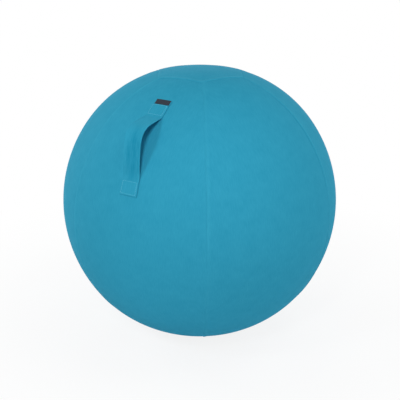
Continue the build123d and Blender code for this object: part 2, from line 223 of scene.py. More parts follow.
def cloth(name, outside, inside, faces, flat, material):
    """Closed sheet: outer faces, the same ones turned round inside, and a wall along free edges.
    `flat` gives each point's place on the flat cut in metres, for the weave, and for the cover's
    fabric also its tone there."""
    numbers = np.concatenate([group.ravel() for group in faces])
    used, places = np.unique(numbers, return_inverse=True)
    count = len(used)
    splits = np.cumsum([group.size for group in faces])[:-1]
    faces = [part.reshape(group.shape) for part, group in zip(np.split(places, splits), faces)]
    fields = (outside, inside, flat)
    outside, inside, flat = (field.reshape(-1, field.shape[-1])[used] for field in fields)
    sides = [np.stack([group, np.roll(group, -1, axis=1)], -1).reshape(-1, 2) for group in faces]
    sides = np.concatenate(sides)
    way = sides[:, 0] * count + sides[:, 1]
    back = sides[:, 1] * count + sides[:, 0]
    start, end = sides[~np.isin(way, back)].T
    walls = np.stack([end, start, start + count, end + count], -1)
    turned = [group[:, ::-1] + count for group in faces]
    points = np.concatenate([outside, inside])
    return new_piece(name, points, [*faces, *turned, walls], material, np.concatenate([flat, flat]))


# Woven polyester: matt yarn-dyed cloth with a short nap, which lightens where it is seen edge-on.
# Its threads lie about 0.5 mm apart and are drawn 1.6 mm apart, so that close views show them.
THREAD = 1.6 * MM
STREAK_WIDTH = 2.2 * MM
STREAK_LENGTH = 14 * MM
CLOUD = 28 * MM
WEAVE_SHADE = 0.12  # this and the next are shares of the way from the low dye to the high one
CLOUD_SHADE = 0.5


def cloth_waves(material, flat, across, along):
    """Sine waves across and along the flat cut, of the given lengths, as X and Y."""
    turns = {0: flat, 1: (2 * np.pi / across, 2 * np.pi / along, 0)}
    turns = add(material, "ShaderNodeVectorMath", turns, operation="MULTIPLY").outputs[0]
    waves = add(material, "ShaderNodeVectorMath", {0: turns}, operation="SINE").outputs[0]
    return add(material, "ShaderNodeSeparateXYZ", {0: waves}).outputs


def woven_polyester(name, low, high):
    """Plain weave on the flat cut: two crossing sine waves, streaked by a noise drawn out along
    them, in broad clouds of dye. The cloth's `tone` map adds painted light and shade: a painted
    highlight along the seams' bands and painted shade in the creases beside them. It also darkens
    the strap's drop in streaks."""
    material = empty_material(name)
    flat = add(material, "ShaderNodeUVMap", uv_map="flat_cut").outputs["UV"]
    waves = cloth_waves(material, flat, 2 * THREAD, 2 * THREAD)
    weave = {0: waves["X"], 1: waves["Y"]}
    weave = add(material, "ShaderNodeMath", weave, operation="MULTIPLY").outputs[0]
    drawn = {0: flat, 1: (1 / STREAK_WIDTH, 1 / STREAK_LENGTH, 0)}
    drawn = add(material, "ShaderNodeVectorMath", drawn, operation="MULTIPLY").outputs[0]
    streaks = {"Vector": drawn, "Scale": 1.0, "Detail": 2.0}
    streaks = add(material, "ShaderNodeTexNoise", streaks, noise_dimensions="2D").outputs["Fac"]
    shade = {0: weave, 1: WEAVE_SHADE, 2: streaks}
    shade = add(material, "ShaderNodeMath", shade, operation="MULTIPLY_ADD").outputs[0]
    clouds = {"Vector": flat, "Scale": 1 / CLOUD, "Detail": 1.0}
    clouds = add(material, "ShaderNodeTexNoise", clouds, noise_dimensions="2D").outputs["Fac"]
    shade = {0: clouds, 1: CLOUD_SHADE, 2: shade}
    shade = add(material, "ShaderNodeMath", shade, operation="MULTIPLY_ADD").outputs[0]
    shade = {0: shade, 1: CLOUD_SHADE / 2}
    shade = add(material, "ShaderNodeMath", shade, operation="SUBTRACT").outputs[0]
    # The tone map's painted highlight and painted shade along the seams, and the strap's darker
    # drop, are added to the dye's shade here
    tone = add(material, "ShaderNodeUVMap", uv_map="tone").outputs["UV"]
    tone = add(material, "ShaderNodeSeparateXYZ", {0: tone}).outputs["X"]
    shade = add(material, "ShaderNodeMath", {0: shade, 1: tone}, operation="ADD").outputs[0]
    colour = {0: shade, 6: linear(low), 7: linear(high)}
    colour = add(material, "ShaderNodeMix", colour, data_type="RGBA", clamp_factor=False).outputs[2]
    bump = {"Height": weave, "Strength": 0.35, "Distance": 0.12 * MM}
    bump = add(material, "ShaderNodeBump", bump).outputs["Normal"]
    surface = {
        "Base Color": colour,
        "Normal": bump,
        "Roughness": 0.9,
        "Specular IOR Level": 0.06,
        "Sheen Weight": 0.03,
        "Sheen Roughness": 0.4,
        "Sheen Tint": linear("#6cc8e8"),
    }
    shader = add(material, "ShaderNodeBsdfPrincipled", surface)
    add(material, "ShaderNodeOutputMaterial", {"Surface": shader.outputs["BSDF"]})
    return material


cover_fabric = woven_polyester("woven_polyester_turquoise", "#2994b4", "#359fbe")

ZIP_RADIUS = 147 * MM
ZIP_GIRTH = -girth_at(np.arccos((ZIP_RADIUS - SHOULDER) / SHOULDER_R))
ZIP_START = np.radians(90)
ZIP_END = np.radians(330)
HEM = 6 * MM  # from the zip's middle line to each hem
HEM_STITCH = 3.2 * MM  # from a hem's fold to its row of stitches
SEAM_GAP = 0.02 * MM
POLE = 3 * MM  # how far from a pole the last ring of a panel lies
BASE_SHARE = 0.72  # of the base's square: a round, cut back along the zip
# Places of the grid lines that lie close together beside an edge
CLOSE = np.array([0, 0.3, 0.6, 1, 1.5, 2.1, 2.9, 3.8, 4.8, 6, 7.5, 10, 14]) * MM


def hem_rise(gap):
    """A hem's height over the skin: doubled over 10 mm, rounded at its fold, dented by stitches."""
    doubled = 0.45 * MM * np.exp(-((gap / (9.5 * MM)) ** 6))
    fold = 0.8 * MM * np.exp(-((gap / (0.7 * MM)) ** 2))
    stitched = 0.3 * MM * np.exp(-(((gap - HEM_STITCH) / (0.8 * MM)) ** 2))
    return doubled - fold - stitched


def panel(name, bearing, girth, rise, faces, flat):
    """Panel of the cover: a sheet of its fabric, with the outer face raised off the skin."""
    outside = on_ball(bearing, girth, -rise)
    inside = on_ball(bearing, girth, COVER_THICKNESS - rise)
    return cloth(name, outside, inside, faces, flat, cover_fabric)


def declare_cover(piece, node, width, length, area):
    """A panel of the cover, stretched over the inner ball: it joins the cover's body in the place
    of its CAD solid, which is hidden.
    """
    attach(piece, "cover")
    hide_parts(node)


def make_base():
    """Rings by length along the section and spokes by bearing, closed by triangles at the pole."""
    spokes = 144
    tongue_spokes = spokes // 3
    hem = ZIP_GIRTH - HEM
    tongue_end = ZIP_GIRTH + HEM - SEAM_GAP
    bearing = ZIP_END - 2 * np.pi + np.linspace(0, 2 * np.pi, spokes, endpoint=False)
    rings = np.linspace(POLE - TOP, hem - CLOSE[-1], 40)[:-1]
    rings = np.concatenate([rings, hem - CLOSE[::-1]])
    girth = np.concatenate([[-TOP], rings, np.linspace(hem, tongue_end, 15)[1:]])[:, None]
    in_tongue = np.arange(spokes) <= tongue_spokes
    gap = np.where(in_tongue, tongue_end, hem) - girth
    rise = np.where(gap >= 0, hem_rise(np.abs(gap)), 0)
    reach = girth + TOP
    plain = np.zeros_like(gap)
    flat = np.stack([reach * np.cos(bearing), reach * np.sin(bearing), plain], -1)
    index = ring_index(girth.size, spokes)
    rows = quads(index)
    disc = rows[1 : len(rings)].reshape(-1, 4)
    tongue = rows[len(rings) :, :tongue_spokes].reshape(-1, 4)
    pole = np.stack([0 * index[1, 1:], index[1, 1:], index[1, :-1]], -1)
    return panel("base_panel_fabric", bearing, girth, rise, [disc, tongue, pole], flat)


base = make_base()
base_size = 2 * (ZIP_GIRTH + HEM + TOP)
declare_cover(base, "base_panel", base_size, base_size, BASE_SHARE * base_size**2)


# Zip: two woven tapes sewn under the hems, with a coil of nylon wire along the edge of each.
# The coils lie side by side two thirds of the way round, with a clamped metal stop at both ends.

TAPE_TOP = 1.7 * MM  # depth under the skin
TAPE_THICKNESS = 0.7 * MM
TAPE_WIDTH = 13 * MM
SLIT = 0.7 * MM  # from the middle line to the edge of each tape
RIB = 0.9 * MM
RIB_ACROSS = 2.4 * MM
COIL_OUT = 3.0 * MM  # from the middle line to the far side of each coil
COIL_IN = 0.36 * MM  # and to its near side
COIL_HEIGHT = 1.6 * MM
COIL_PITCH = 1.5 * MM
COIL_WIRE = 0.29 * MM
STOP_ARC = 4.3 * MM / ZIP_RADIUS
LEVELS = {"upper": 1, "lower": -1}  # the side of the zip's middle line


def ribbed_tape(name, low, high):
    """Narrow woven ribbon: a sine wave of ribs along its length, and a fainter one across it."""
    material = empty_material(name)
    flat = add(material, "ShaderNodeUVMap", uv_map="flat_cut").outputs["UV"]
    waves = cloth_waves(material, flat, RIB_ACROSS, RIB)
    ribs = {0: waves["X"], 1: 0.25, 2: waves["Y"]}
    ribs = add(material, "ShaderNodeMath", ribs, operation="MULTIPLY_ADD").outputs[0]
    colour = {0: ribs, 6: linear(low), 7: linear(high)}
    colour = add(material, "ShaderNodeMix", colour, data_type="RGBA").outputs[2]
    bump = {"Height": ribs, "Strength": 0.4, "Distance": 0.1 * MM}
    bump = add(material, "ShaderNodeBump", bump).outputs["Normal"]
    surface = {"Base Color": colour, "Normal": bump, "Roughness": 0.75, "Specular IOR Level": 0.2}
    shader = add(material, "ShaderNodeBsdfPrincipled", surface)
    add(material, "ShaderNodeOutputMaterial", {"Surface": shader.outputs["BSDF"]})
    return material


# Woven polyester tape, a shade darker than the cover, and polished nylon wire of the same dye
zip_tape = ribbed_tape("woven_zip_tape", "#1d6b85", "#267c97")
coil_nylon = grained("drawn_nylon_wire", "#1b647c", "#22728b", 1.5 * MM, 0.3, 0.02 * MM, IOR=1.53)
# Zinc alloy, die cast and plated in dark nickel: satin, with the soft ripple of the casting
cast_zinc = grained(
    "dark_nickel_on_zinc", "#5d6063", "#74777a", 1.8 * MM, 0.32, 0.04 * MM, Metallic=1.0
)


def grid_faces(rows, columns):
    """Quads of an open grid of points, counted row by row."""
    return quads(np.arange(rows * columns).reshape(rows, columns)).reshape(-1, 4)


def make_tape(name, side):
    """Strip of the section's band under the skin, from the slit to the tape's far edge."""
    bearing = np.linspace(ZIP_START, ZIP_END, 241)
    across = np.sort(side * np.linspace(SLIT, TAPE_WIDTH, 9))
    girth = (ZIP_GIRTH + across)[:, None]
    outside = on_ball(bearing, girth, TAPE_TOP)
    inside = on_ball(bearing, girth, TAPE_TOP + TAPE_THICKNESS)
    flat = np.stack(np.broadcast_arrays(across[:, None], bearing * ZIP_RADIUS), -1)
    faces = [grid_faces(len(across), len(bearing))]
    return cloth(name, outside, inside, faces, flat, zip_tape)


def tube(centre, normal, binormal, radius, sides):
    """Round wire: a circle carried along a line of points, square to it."""
    angle = np.linspace(0, 2 * np.pi, sides, endpoint=False)[None, :, None]
    ring = radius * (np.cos(angle) * normal[:, None] + np.sin(angle) * binormal[:, None])
    index = ring_index(len(centre), sides)
    ends = [index[:1, -2::-1], index[-1:, :-1]]
    return (centre[:, None] + ring).reshape(-1, 3), [quads(index).reshape(-1, 4), *ends]


def make_coil(name, side):
    """Flattened helix on the edge of a tape: an ellipse across the zip, carried round the ball."""
    first = ZIP_START + STOP_ARC
    last = ZIP_END - STOP_ARC
    turns = round((last - first) * ZIP_RADIUS / COIL_PITCH)
    turn = 2 * np.pi * np.linspace(0, turns, turns * 10 + 1)
    bearing = np.linspace(first, last, len(turn))
    middle = (COIL_OUT + COIL_IN) / 2
    reach = (COIL_OUT - COIL_IN) / 2 - COIL_WIRE
    across = side * (middle - reach * np.cos(turn))
    depth = TAPE_TOP - COIL_HEIGHT / 2 - (COIL_HEIGHT / 2 - COIL_WIRE) * np.sin(turn)
    line = on_ball(bearing, ZIP_GIRTH + across, depth)
    way = np.gradient(line, axis=0)
    way /= np.linalg.norm(way, axis=1, keepdims=True)
    along = np.stack([-np.sin(bearing), np.cos(bearing), 0 * bearing], -1)
    normal = np.cross(way, along)
    normal /= np.linalg.norm(normal, axis=1, keepdims=True)
    points, faces = tube(line, normal, np.cross(way, normal), COIL_WIRE, 6)
    return new_piece(name, points, faces, coil_nylon)


zip_length = (ZIP_END - ZIP_START) * ZIP_RADIUS
for level, side in LEVELS.items():
    tape = make_tape("zip_tape_" + level + "_woven", side)
    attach(tape, "cover")
    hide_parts("zip_tape_" + level)
    coil = make_coil("zip_coil_" + level + "_wire", side)
    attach(coil, "cover")
    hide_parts("zip_coil_" + level)
for name in ("zip_stops", "zip_slider", "zip_pull"):
    dress(name, cast_zinc)


# Gores: six tall panels of the cover fabric, each a sixth of the way round, from zip to crown.
# Each seam's allowance is pressed to its right, where it lifts a soft band beside the sunk line.

CAP_FLATS = 190 * MM  # across the flats of the hexagonal crown
GORES = ("front", "front_right", "back_right", "back", "back_left", "front_left")
FRONT = np.radians(-90)
SIXTH = np.pi / 3
ROLL_STEP = 400 * MM  # from one gore's cut to the next on the roll
PRESS_WAVE = 420 * MM
# Painted tones of the seam at each gore's left, set seam by seam to how the light falls on it: a
# painted highlight on the band over its allowance, and painted shade in the crease across from it,
# which at one seam is a faint painted highlight instead. The last is painted shade in the crease of
# the gores' cloth below the crown.
BAND_PAINTED_LIGHT = (0.4, 0.3, 0.3, 0.4, 0.3, 0.4)
CREASE_PAINTED_SHADING = (-0.1, 0.1, -0.5, -0.4, -0.5, -0.3)
TOP_PAINTED_SHADE = -0.15
# Where each of these tones starts and ends to fade, measured from its seam
BAND = (5 * MM, 9 * MM)
CREASE = (3 * MM, 8 * MM)
TOP_CREASE = (2 * MM, 6 * MM)


def laid(even):
    """Share and offset of grid lines between two edges: close at both, even in between."""
    share = np.linspace(0, 1, even + 2)[1:-1]
    shares = np.concatenate([np.zeros(len(CLOSE)), share, np.ones(len(CLOSE))])
    offsets = np.concatenate([CLOSE, CLOSE[-1] * (1 - 2 * share), -CLOSE[::-1]])
    return shares, offsets


def crown_edge(turn, shift):
    """Length along the section to the crown's edge, by bearing from the middle of a side.
    The edge is a plane cut square to the skin, moved `shift` towards the crown."""
    cap_tilt = np.arccos((CAP_FLATS / 2 - SHOULDER) / SHOULDER_R)
    level = np.cos(turn) * np.sin(cap_tilt)
    upright = np.cos(cap_tilt)
    known = (shift + SHOULDER * (np.cos(turn) - 1) * np.sin(cap_tilt)) / SHOULDER_R
    return girth_at(np.arctan2(level, upright) + np.arcsin(known / np.hypot(level, upright)))


def fade(gap, near, far):
    """One up to `near` and nothing beyond `far`, eased in between by a cubic."""
    part = np.clip((far - gap) / (far - near), 0, 1)
    return part**2 * (3 - 2 * part)


def uneven_wave(place, step, along, swing, lag):
    """Sine wave with a crest at each step, put off by up to `lag` radians by a slower wave."""
    return np.sin(2 * np.pi * place / step + lag * np.sin(2 * np.pi * along / swing))


def pressing(girth, number):
    """How firmly a gore's left seam is pressed: a long wave along it, shifted from seam to seam."""
    return 0.8 + 0.4 * np.sin(2 * np.pi * girth / PRESS_WAVE + 2.3 - 2 * number)


def seam_lift(gap):
    """Soft band over the pressed allowance: folded up at the seam, flat on top, gone 10 mm off."""
    return 0.8 * MM * np.exp(-((gap / (7.5 * MM)) ** 6)) * (1 - np.exp(-gap / (0.8 * MM)))


def seam_draw(gap):
    """Groove that the stitches pull in along the sewn line, sharp at its foot."""
    return 0.15 * MM * np.exp(-gap / (1.1 * MM))


def pucker(along, gap):
    """Small uneven waves along a seam, where the thread gathers the fabric, dying out beside it."""
    wave = uneven_wave(along, 11 * MM, along, 57 * MM, 1.8)
    return 0.1 * MM * wave * np.exp(-((gap / (7 * MM)) ** 2))


def make_gore(name, number):
    """Rows by length along the section, columns by distance from the gore's own two seams.
    The crown's edge and the bearings hang on each other, and four rounds settle both.
    Each gore is cut from its own stretch of the roll, so no two show the same streaks."""
    row_share, row_offset = (field[:, None] for field in laid(200))
    column_share, column_offset = laid(36)
    low = ZIP_GIRTH + HEM
    turn = np.zeros((row_share.size, column_share.size))
    for _ in range(4):
        high = crown_edge(turn, -SEAM_GAP / 2)
        girth = low + row_share * (high - low) + row_offset
        radius = skin(tilt_at(girth), 0)[0]
        half = radius * SIXTH / 2 - SEAM_GAP / 2
        across = half * (2 * column_share - 1) + column_offset
        turn = across / radius
    left_gap = half + across
    right_gap = half - across
    side_gap = np.minimum(left_gap, right_gap)
    top_gap = high - girth
    firm = pressing(girth, number)
    lift = firm * seam_lift(left_gap)
    draw = np.maximum(seam_draw(side_gap), seam_draw(top_gap))
    waves = pucker(girth, side_gap) + pucker(across, top_gap)
    rise = lift - draw + waves + hem_rise(girth - low)
    after = (number + 1) % len(GORES)
    # Painted highlight over the pressed band, painted shade in the crease beside the right seam and
    # painted shade under the crown's edge
    band = BAND_PAINTED_LIGHT[number] * firm * fade(left_gap, *BAND)
    crease = CREASE_PAINTED_SHADING[after] * pressing(girth, after) * fade(right_gap, *CREASE)
    tone = band + crease + TOP_PAINTED_SHADE * fade(top_gap, *TOP_CREASE)
    flat = np.stack([across + ROLL_STEP * number, girth, tone], -1)
    bearing = FRONT + number * SIXTH + turn
    gore = panel(name, bearing, girth, rise, [grid_faces(*girth.shape)], flat)
    centre = girth[:, girth.shape[1] // 2]
    width = 2 * half.mean(1)
    area = np.sum((width[1:] + width[:-1]) / 2 * np.diff(centre))
    return gore, width.max(), np.ptp(centre), area


for number, side_name in enumerate(GORES):
    node = "gore_" + side_name
    gore, *cut = make_gore(node + "_fabric", number)
    declare_cover(gore, node, *map(float, cut))


# Crown panel: a hexagon of the cover fabric that closes the top, its corners on the gores' seams.
# It is sewn in last, and its own edge is folded over the allowance of that seam.

# Painted highlight on the band along the crown's folded edge
CROWN_PAINTED_LIGHT = 0.3
CAP_CORNERS = CAP_FLATS / np.cos(SIXTH / 2)
HEXAGON_SHARE = 0.75  # a hexagon's area over the product of its flats and its corners


def make_crown():
    """Rings in from the hexagon's edge by length along the section, closed by triangles on top."""
    spokes = 168
    bearing = np.linspace(0, 2 * np.pi, spokes, endpoint=False)
    turn = np.mod(bearing - FRONT + SIXTH / 2, SIXTH) - SIXTH / 2
    edge = crown_edge(turn, SEAM_GAP / 2)
    share = np.linspace(0, 1, 30)[1:, None]
    even = edge + CLOSE[-1] + share * (TOP - POLE - edge - CLOSE[-1])
    girth = np.concatenate([edge + CLOSE[:, None], even, np.full((1, spokes), TOP)])
    gap = girth - edge
    along = turn * skin(tilt_at(girth), 0)[0]
    rise = seam_lift(gap) - seam_draw(gap) + pucker(along, gap)
    reach = TOP - girth
    # Painted highlight along the crown's edge
    tone = CROWN_PAINTED_LIGHT * fade(gap, *BAND)
    flat = np.stack([reach * np.cos(bearing), reach * np.sin(bearing), tone], -1)
    index = ring_index(*girth.shape)
    rings = quads(index[:-1]).reshape(-1, 4)
    pole = np.stack([index[-2, :-1], index[-2, 1:], 0 * index[-2, 1:] + index[-1, 0]], -1)
    return panel("crown_panel_fabric", bearing, girth, rise, [rings, pole], flat)


crown_area = HEXAGON_SHARE * CAP_FLATS * CAP_CORNERS
declare_cover(make_crown(), "crown_panel", CAP_FLATS, CAP_CORNERS, crown_area)


# Stitching: polyester thread, a shade lighter than the cover, in raised stitches 3 mm long.
# It holds the two hems to the zip tapes, and both ends of the strap to the front gore.

STITCH = 3.0 * MM
STITCH_STEP = 3.7 * MM
STITCH_PROUD = 0.1 * MM  # from the cloth to the middle of the thread
THREAD_R = 0.36 * MM
# Twisted polyester thread: a soft lustre, with the turns of the twist too fine to show
sewing_thread = grained(
    "twisted_polyester_thread", "#4cafcb", "#66bfd8", 1.2 * MM, 0.6, 0.05 * MM
)


def make_stitches(name, centre, way, out):
    """One small spindle per stitch: rings of six points, rounded off towards both ends."""
    way = way / np.linalg.norm(way, axis=1, keepdims=True)
    out = out / np.linalg.norm(out, axis=1, keepdims=True)
    side = np.cross(way, out)
    along = np.array([-1, -0.8, 0, 0.8, 1])
    size = np.array([0.25, 0.8, 1, 0.8, 0.25]) * THREAD_R
    angle = np.linspace(0, 2 * np.pi, 6, endpoint=False)
    spine = (along * STITCH / 2)[None, :, None, None] * way[:, None, None]
    round_out = np.cos(angle)[None, None, :, None] * out[:, None, None]
    round_side = np.sin(angle)[None, None, :, None] * side[:, None, None]
    rings = size[None, :, None, None] * (round_out + round_side)
    points = centre[:, None, None] + spine + rings
    index = ring_index(along.size, angle.size)
    ends = np.stack([index[0, -2::-1], index[-1, :-1]])
    shift = along.size * angle.size * np.arange(len(centre))[:, None, None]
    walls = (quads(index).reshape(-1, 4) + shift).reshape(-1, 4)
    faces = [walls, (ends + shift).reshape(-1, angle.size)]
    stitches = new_piece(name, points.reshape(-1, 3), faces, sewing_thread)
    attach(stitches, "cover")
    return stitches


for level, side in LEVELS.items():
    girth = ZIP_GIRTH + side * (HEM + HEM_STITCH)
    count = int(zip_length / STITCH_STEP)
    bearing = np.linspace(ZIP_START, ZIP_END, count + 2)[1:-1]
    number, turn = np.divmod(np.mod(bearing - FRONT + SIXTH / 2, 2 * np.pi), SIXTH)
    lift = pressing(girth, number) * seam_lift(turn * ZIP_RADIUS) if level == "upper" else 0
    centre = on_ball(bearing, girth, -hem_rise(HEM_STITCH) - lift - STITCH_PROUD)
    out = centre - on_ball(bearing, girth, MM)
    along = np.stack([-np.sin(bearing), np.cos(bearing), 0 * bearing], -1)
    make_stitches("hem_stitches_" + level, centre, along, out)


# Carrying strap: one strip of the cover fabric, doubled, with its edges folded in.
# Both ends are sewn flat on the front gore, and the slack between them bows out for a hand.

STRAP_WIDTH = 40 * MM
STRAP_THICKNESS = 2.4 * MM
STRAP_GAP = 0.3 * MM
STRAP_FOLD = 1.3 * MM  # how far in from an edge its fold is rounded
STRAP_LEAST = 0.15 * MM  # half the thickness left at the very edge
SEWN_HIGH = 40 * MM
SEWN_LOW = 31 * MM
LEAVES_AT = 255 * MM  # height over the ball's middle, on the shoulder
MEETS_AT = 137 * MM  # height over the ball's middle, on the belly
HIGH_GIRTH = girth_at(np.arcsin((LEAVES_AT - SHOULDER) / SHOULDER_R))
LOW_GIRTH = girth_at(np.arcsin(MEETS_AT / BELLY_R))
BEND = np.array([286 * MM, CENTRE_Z + 241 * MM])  # radius and height of the bend's corner
BELLY = 2.5 * MM  # how far the drop below the bend hangs out from a straight line
BELLY_SHARE = 0.6  # how far down the drop it does so
LIFT = 9 * MM  # how far the span runs straight on from each sewn end
EASES = (7 * MM, 33 * MM, 22 * MM, 8 * MM)  # at the lift, the bend, the belly and the landing
SEWN_CUP = 1.5  # per metre: how the sewn ends follow the ball across the strap
FREE_CUP = -3.0  # per metre: how the bent span curls up at its edges
CUP_RUN = 30 * MM  # from the stitches to where the span has its full curl
FLARE = 0.06  # share by which the lower end spreads where it is sewn flat
STRAP_LEAN = np.radians(2.5)
STRAP_SIDE = np.radians(0.5)
# The drop's darker part: its middle, a little to the right, and its reach from there
DARK_DROP_ACROSS = 4 * MM
DARK_DROP_RUN = 164 * MM
DARK_DROP_HALF_WIDTH = 23 * MM
DARK_DROP_HALF_LENGTH = 75 * MM
DARK_DROP_TONE = -0.9


def sewn_line(start, end):
    """Middle of a sewn end: points of the section just outside the skin."""
    tilt = tilt_at(np.linspace(start, end, 60))
    return np.stack(skin(tilt, -STRAP_GAP - STRAP_THICKNESS / 2), -1)


def eased(corners, cuts):
    """Line through corners, each rounded by a parabola that starts and ends `cut` away from it."""
    part = np.linspace(0, 1, 60)[:, None]
    rounds = []
    for before, corner, after, cut in zip(corners, corners[1:], corners[2:], cuts):
        first = corner + cut * (before - corner) / np.linalg.norm(before - corner)
        last = corner + cut * (after - corner) / np.linalg.norm(after - corner)
        rounds.append((1 - part) ** 2 * first + 2 * part * (1 - part) * corner + part**2 * last)
    return np.concatenate(rounds)


upper_line = sewn_line(HIGH_GIRTH + SEWN_HIGH, HIGH_GIRTH)
lower_line = sewn_line(LOW_GIRTH, LOW_GIRTH - SEWN_LOW)
down = upper_line[-1] - upper_line[-2]
up = lower_line[0] - lower_line[1]
leave = upper_line[-1] + LIFT * down / np.linalg.norm(down)
meet = lower_line[0] + LIFT * up / np.linalg.norm(up)
drop = meet - BEND
belly = BEND + BELLY_SHARE * drop + BELLY * np.array([-drop[1], drop[0]]) / np.linalg.norm(drop)
corners = [upper_line[-1], leave, BEND, belly, meet, lower_line[0]]
strap_line = np.concatenate([upper_line, eased(corners, EASES), lower_line])
run = np.concatenate([[0], np.cumsum(np.linalg.norm(np.diff(strap_line, axis=0), axis=1))])
STRAP_LENGTH = run[-1]
even_run = np.linspace(0, STRAP_LENGTH, 400)
strap_line = np.stack([np.interp(even_run, run, strap_line[:, axis]) for axis in (0, 1)], -1)
slope = np.gradient(strap_line, axis=0)
slope /= np.linalg.norm(slope, axis=1, keepdims=True)

middle_tilt = (tilt_at(HIGH_GIRTH + SEWN_HIGH) + tilt_at(LOW_GIRTH - SEWN_LOW)) / 2
lean_axis = Vector((0, -np.cos(middle_tilt), np.sin(middle_tilt)))
strap_turn = Matrix.Rotation(STRAP_SIDE, 3, "Z") @ Matrix.Rotation(-STRAP_LEAN, 3, lean_axis)


def on_strap(run, across, height):
    """Points by length down the strap, place across it and height over its middle layer.
    They are worked out upright on the front, leaned about the strap's middle and turned aside."""
    fields = (*strap_line.T, -slope[:, 1], slope[:, 0])
    radius, z, way_out, way_up = (np.interp(run, even_run, field) for field in fields)
    sewn = fade(np.minimum(run - SEWN_HIGH, STRAP_LENGTH - SEWN_LOW - run), 0, CUP_RUN)
    cup = FREE_CUP + (SEWN_CUP - FREE_CUP) * sewn
    lifted = height - cup * across**2
    across = across * (1 + FLARE * np.clip(1 - (STRAP_LENGTH - run) / SEWN_LOW, 0, 1))
    forward = -(radius + way_out * lifted)
    points = np.broadcast_arrays(across, forward, z + way_up * lifted - CENTRE_Z)
    return np.stack(points, -1) @ np.array(strap_turn).T + [0, 0, CENTRE_Z]


def folded(gap):
    """Share of the full thickness near a folded edge: a quarter circle up from the edge."""
    return np.sqrt(1 - (1 - np.clip(gap / STRAP_FOLD, 0, 1)) ** 2)


def make_strap():
    """Two faces of a flat tube along the strap's line, meeting in rounded folds at all edges.
    Its drop is darker, in broad and fine streaks."""
    across = STRAP_WIDTH / 2 * np.sin(np.linspace(-np.pi / 2, np.pi / 2, 45))
    rows = np.linspace(0, STRAP_LENGTH, 260)[:, None]
    edge = folded(STRAP_WIDTH / 2 - np.abs(across))
    end = folded(np.minimum(rows, STRAP_LENGTH - rows))
    half = np.maximum(STRAP_THICKNESS / 2 * np.minimum(edge, end), STRAP_LEAST)
    outside = on_strap(rows, across, half)
    inside = on_strap(rows, across, -half)
    aside = (across - DARK_DROP_ACROSS) / DARK_DROP_HALF_WIDTH
    # The drop is made darker here, in broad and fine streaks
    drop_darkening = fade(np.hypot(aside, (rows - DARK_DROP_RUN) / DARK_DROP_HALF_LENGTH), 0.4, 1)
    drop_darkening = np.where(rows < STRAP_LENGTH - SEWN_LOW, drop_darkening, 0)
    broad = uneven_wave(across, 15 * MM, rows, 95 * MM, 1.2)
    fine = uneven_wave(across, 5.5 * MM, rows, 140 * MM, 2)
    tone = DARK_DROP_TONE * drop_darkening * (1 + 0.25 * broad + 0.15 * fine)
    flat = np.stack(np.broadcast_arrays(across, rows, tone), -1)
    faces = [grid_faces(len(rows), len(across))[:, ::-1]]
    return cloth("strap_fabric", outside, inside, faces, flat, cover_fabric)


strap = make_strap()
high_end = on_strap(SEWN_HIGH, 0, 0)
low_end = on_strap(STRAP_LENGTH - SEWN_LOW, 0, 0)
chord = (high_end + low_end) / 2
chord_way = (high_end - low_end) / np.linalg.norm(high_end - low_end)
bow = on_strap(even_run, 0, 0) - chord
bow -= (bow @ chord_way)[:, None] * chord_way
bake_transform(strap)
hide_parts("strap_span", "strap_end_upper", "strap_end_lower")


def boxed(low, high, half):
    """Stitch places round a box: length down the strap, place across it, and the way they run."""
    corners = np.array([(low, -half), (low, half), (high, half), (high, -half), (low, -half)])
    places, ways = [], []
    for start, end in zip(corners, corners[1:]):
        count = round(np.linalg.norm(end - start) / STITCH_STEP)
        share = (np.arange(count) + 0.5)[:, None] / count
        places.append(start + share * (end - start))
        ways.append(np.repeat([end - start], count, axis=0))
    return np.concatenate(places), np.concatenate(ways)


LABEL_INSET = 1.2 * MM
LABEL_HEIGHT = 14 * MM
STITCH_INSET = 3.6 * MM
BOX_INSET = 2 * MM  # from the label, or from where the lower end meets the ball
BOX_OVER = 3 * MM  # how far the upper box runs on past the sewn end
boxes = {
    "upper": (LABEL_INSET + LABEL_HEIGHT + BOX_INSET, SEWN_HIGH + BOX_OVER),
    "lower": (STRAP_LENGTH - SEWN_LOW + BOX_INSET, STRAP_LENGTH - STITCH_INSET),
}
for level, (low, high) in boxes.items():
    places, ways = boxed(low, high, STRAP_WIDTH / 2 - STITCH_INSET)
    top = STRAP_THICKNESS / 2 + STITCH_PROUD
    centre = on_strap(places[:, 0], places[:, 1], top)
    step = 0.01 * ways
    ahead = on_strap(places[:, 0] + step[:, 0], places[:, 1] + step[:, 1], top)
    out = centre - on_strap(places[:, 0], places[:, 1], 0)
    make_stitches("strap_stitches_" + level, centre, ahead - centre, out)


# Label: a small tag of charcoal ribbon, woven plain, laid across the strap's upper end.
# Its long edges are woven selvedges, and its short ends are folded under.

LABEL_WIDTH = 34 * MM
LABEL_SHIFT = 2.5 * MM
LABEL_THICKNESS = 0.6 * MM
LABEL_GAP = 0.2 * MM
# Taffeta ribbon of polyester yarn: close ribs, a slight silky lustre
label_ribbon = ribbed_tape("charcoal_taffeta_ribbon", "#232933", "#39414d")


